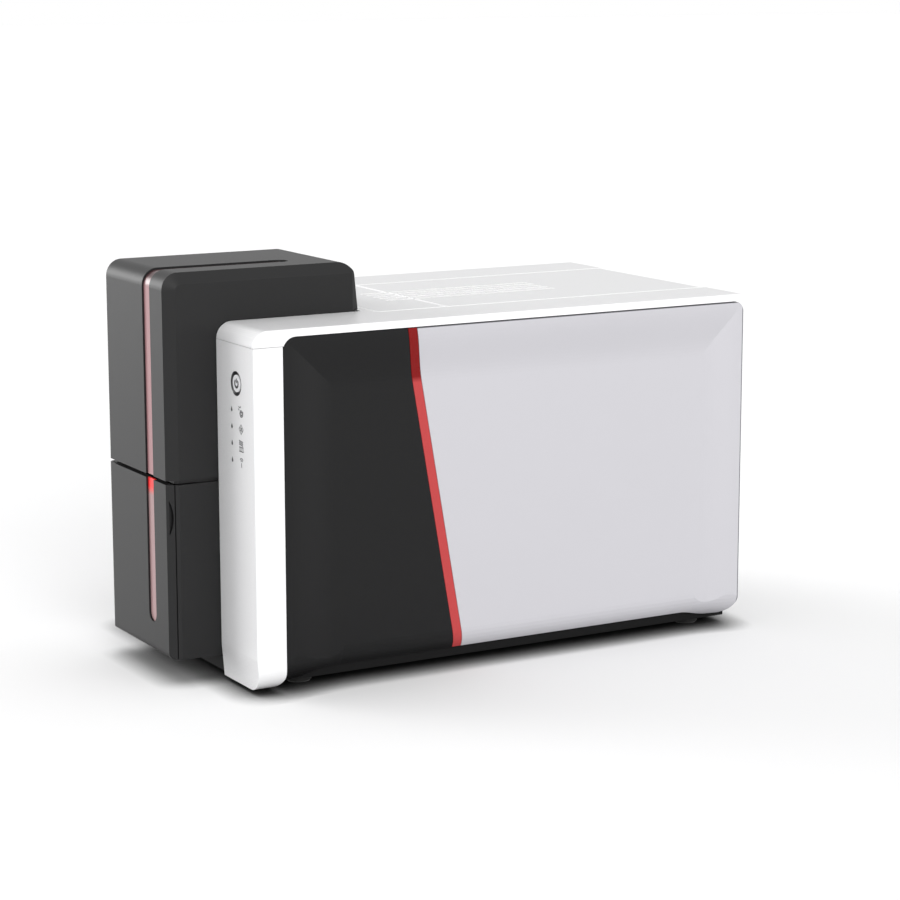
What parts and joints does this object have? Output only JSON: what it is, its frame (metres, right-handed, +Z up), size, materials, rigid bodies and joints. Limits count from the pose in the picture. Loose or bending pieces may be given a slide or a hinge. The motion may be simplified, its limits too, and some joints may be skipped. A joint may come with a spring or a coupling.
{
  "type": "id card printer",
  "caption": "Desktop card printer with a front card feeder over an output hopper, hinged rear hood over ribbon and print head, dished side panels.",
  "frame": {"origin": "on the table under the middle of the footprint, the card tower included", "axes": "+Z up, front of the printer faces -Y, +X is the side with the power button"},
  "size_m": [0.206, 0.376, 0.247],
  "materials": {
    "white_shell": "fine satin moulded white",
    "dark_panel": "satin charcoal",
    "red_stripe": "satin red",
    "grey_panel": "satin light grey",
    "tower_shell": "satin dark grey",
    "level_window": "smoked red translucent",
    "black_frame": "black moulded",
    "rubber": "matt black rubber",
    "sheet_steel": "zinc plated sheet",
    "steel_pin": "ground steel",
    "feed_roller": "rubber sleeves on steel shafts with moulded gears",
    "cleaning_sleeve": "tacky blue rubber",
    "gear_plastic": "natural moulded",
    "pinion_brass": "cut brass",
    "motor_case": "black painted can",
    "head_alloy": "extruded heat sink",
    "head_ceramic": "glazed ceramic and driver cover",
    "weight_metal": "black powder coat",
    "light_parts": "clear and smoked light guides",
    "button_cap": "gloss white",
    "circuit_board": "green solder mask",
    "port_shell": "plated shells",
    "inlet_body": "black moulded",
    "ribbon_roll": "dyed film on moulded cores"
  },
  "bodies": {
    "chassis": {"base_tray": "black_frame", "feet": "rubber", "side_plate_left": "sheet_steel", "side_plate_right": "sheet_steel", "cross_bridge": "sheet_steel", "card_guide": "black_frame", "side_wall_left": "black_frame", "side_wall_right": "black_frame", "front_cover_left": "white_shell", "front_cover_right": "white_shell", "top_cover": "white_shell", "rear_panel": "white_shell", "panel_dark_left": "dark_panel", "panel_dark_right": "dark_panel", "stripe_left": "red_stripe", "stripe_right": "red_stripe", "panel_grey_left": "grey_panel", "panel_grey_right": "grey_panel", "hood_pin": "steel_pin", "feeder_deck": "black_frame", "card_magazine": "black_frame", "feeder_pin": "steel_pin", "pick_motor": "motor_case", "hopper_body": "tower_shell", "door_pin": "steel_pin", "panel_lights": "light_parts", "panel_board": "circuit_board", "main_board": "circuit_board", "power_inlet": "inlet_body", "data_ports": "port_shell", "drive_motor": "motor_case", "motor_bracket": "sheet_steel", "ribbon_film": "ribbon_roll"},
    "hood": {"hood_cover": "white_shell", "hood_frame": "black_frame"},
    "head": {"head_bracket": "head_alloy", "print_head": "head_ceramic"},
    "pad": {"release_pad": "white_shell"},
    "cover": {"feeder_cover": "tower_shell", "feeder_window": "level_window"},
    "weight": {"card_weight": "weight_metal"},
    "gauge": {"gauge_lever": "sheet_steel"},
    "door": {"hopper_door": "tower_shell", "hopper_window": "level_window"},
    "button": {"power_button": "button_cap"},
    "pick": {"pick_roller": "rubber"},
    "front_feed": {"front_roller": "feed_roller"},
    "middle_feed": {"middle_roller": "feed_roller"},
    "platen": {"platen_roller": "feed_roller"},
    "rear_feed": {"rear_roller": "feed_roller"},
    "front_idler": {"idler_front": "gear_plastic"},
    "middle_idler": {"idler_middle": "gear_plastic"},
    "rear_idler": {"idler_rear": "gear_plastic"},
    "pinion": {"motor_pinion": "pinion_brass"},
    "front_press": {"front_pinch": "steel_pin"},
    "cleaner": {"cleaning_roller": "cleaning_sleeve"},
    "rear_press": {"rear_pinch": "steel_pin"},
    "supply": {"supply_spool": "ribbon_roll"},
    "takeup": {"takeup_spool": "ribbon_roll"}
  },
  "joints": [
    {"name": "hood_hinge", "type": "hinge", "parent": "chassis", "child": "hood", "pos_m": [0, 0.18, 0.208], "axis": [-1, 0, 0], "range_deg": [0, 70]},
    {"name": "head_float", "type": "slide", "parent": "hood", "child": "head", "axis": [0, 0, 1], "range_m": [0, 0.0015], "stiffness_N_per_m": 2000, "springref_m": -0.004},
    {"name": "pad_press", "type": "slide", "parent": "chassis", "child": "pad", "axis": [0, 0, -1], "range_m": [0, 0.002], "stiffness_N_per_m": 800, "springref_m": -0.003},
    {"name": "cover_hinge", "type": "hinge", "parent": "chassis", "child": "cover", "pos_m": [0.0062, -0.07, 0.226], "axis": [-1, 0, 0], "range_deg": [0, 75]},
    {"name": "weight_slide", "type": "slide", "parent": "chassis", "child": "weight", "axis": [0, 0, 1], "range_m": [0, 0.07]},
    {"name": "gauge_slide", "type": "slide", "parent": "chassis", "child": "gauge", "axis": [0, 0, 1], "range_m": [0, 0.004]},
    {"name": "door_hinge", "type": "hinge", "parent": "chassis", "child": "door", "pos_m": [-0.0348, -0.1825, 0.07], "axis": [0, 0, -1], "range_deg": [0, 95]},
    {"name": "button_press", "type": "slide", "parent": "chassis", "child": "button", "axis": [0, 1, 0], "range_m": [0, 0.0008], "stiffness_N_per_m": 500, "springref_m": -0.001},
    {"name": "pick_turn", "type": "hinge", "parent": "chassis", "child": "pick", "pos_m": [0.0062, -0.105, 0.1221], "axis": [1, 0, 0], "continuous": true},
    {"name": "front_feed_turn", "type": "hinge", "parent": "chassis", "child": "front_feed", "pos_m": [0.0062, -0.0448, 0.1215], "axis": [1, 0, 0], "continuous": true},
    {"name": "middle_feed_turn", "type": "hinge", "parent": "chassis", "child": "middle_feed", "pos_m": [0.0062, 0.0016, 0.1215], "axis": [1, 0, 0], "continuous": true},
    {"name": "platen_turn", "type": "hinge", "parent": "chassis", "child": "platen", "pos_m": [0.0062, 0.048, 0.1215], "axis": [1, 0, 0], "continuous": true},
    {"name": "rear_feed_turn", "type": "hinge", "parent": "chassis", "child": "rear_feed", "pos_m": [0.0062, 0.0944, 0.1215], "axis": [1, 0, 0], "continuous": true},
    {"name": "front_idler_turn", "type": "hinge", "parent": "chassis", "child": "front_idler", "pos_m": [0.0062, -0.0216, 0.1215], "axis": [1, 0, 0], "continuous": true},
    {"name": "middle_idler_turn", "type": "hinge", "parent": "chassis", "child": "middle_idler", "pos_m": [0.0062, 0.0248, 0.1215], "axis": [1, 0, 0], "continuous": true},
    {"name": "rear_idler_turn", "type": "hinge", "parent": "chassis", "child": "rear_idler", "pos_m": [0.0062, 0.0712, 0.1215], "axis": [1, 0, 0], "continuous": true},
    {"name": "pinion_turn", "type": "hinge", "parent": "chassis", "child": "pinion", "pos_m": [-0.048, 0.0248, 0.1015], "axis": [1, 0, 0], "continuous": true},
    {"name": "front_press_turn", "type": "hinge", "parent": "chassis", "child": "front_press", "pos_m": [0.0062, -0.0448, 0.1338], "axis": [1, 0, 0], "continuous": true},
    {"name": "cleaner_turn", "type": "hinge", "parent": "chassis", "child": "cleaner", "pos_m": [0.0062, 0.0016, 0.1363], "axis": [1, 0, 0], "continuous": true},
    {"name": "rear_press_turn", "type": "hinge", "parent": "chassis", "child": "rear_press", "pos_m": [0.0062, 0.0944, 0.1338], "axis": [1, 0, 0], "continuous": true},
    {"name": "supply_turn", "type": "hinge", "parent": "chassis", "child": "supply", "pos_m": [0.0062, 0.1, 0.168], "axis": [1, 0, 0], "continuous": true},
    {"name": "takeup_turn", "type": "hinge", "parent": "chassis", "child": "takeup", "pos_m": [0.0062, 0.002, 0.168], "axis": [1, 0, 0], "continuous": true}
  ],
  "couplings": [
    {"joint": "front_feed_turn", "follows": "platen_turn", "ratio": 1},
    {"joint": "middle_feed_turn", "follows": "platen_turn", "ratio": 1},
    {"joint": "rear_feed_turn", "follows": "platen_turn", "ratio": 1},
    {"joint": "front_idler_turn", "follows": "platen_turn", "ratio": -0.70588},
    {"joint": "middle_idler_turn", "follows": "platen_turn", "ratio": -0.70588},
    {"joint": "rear_idler_turn", "follows": "platen_turn", "ratio": -0.70588},
    {"joint": "pinion_turn", "follows": "platen_turn", "ratio": 1.5}
  ]
}
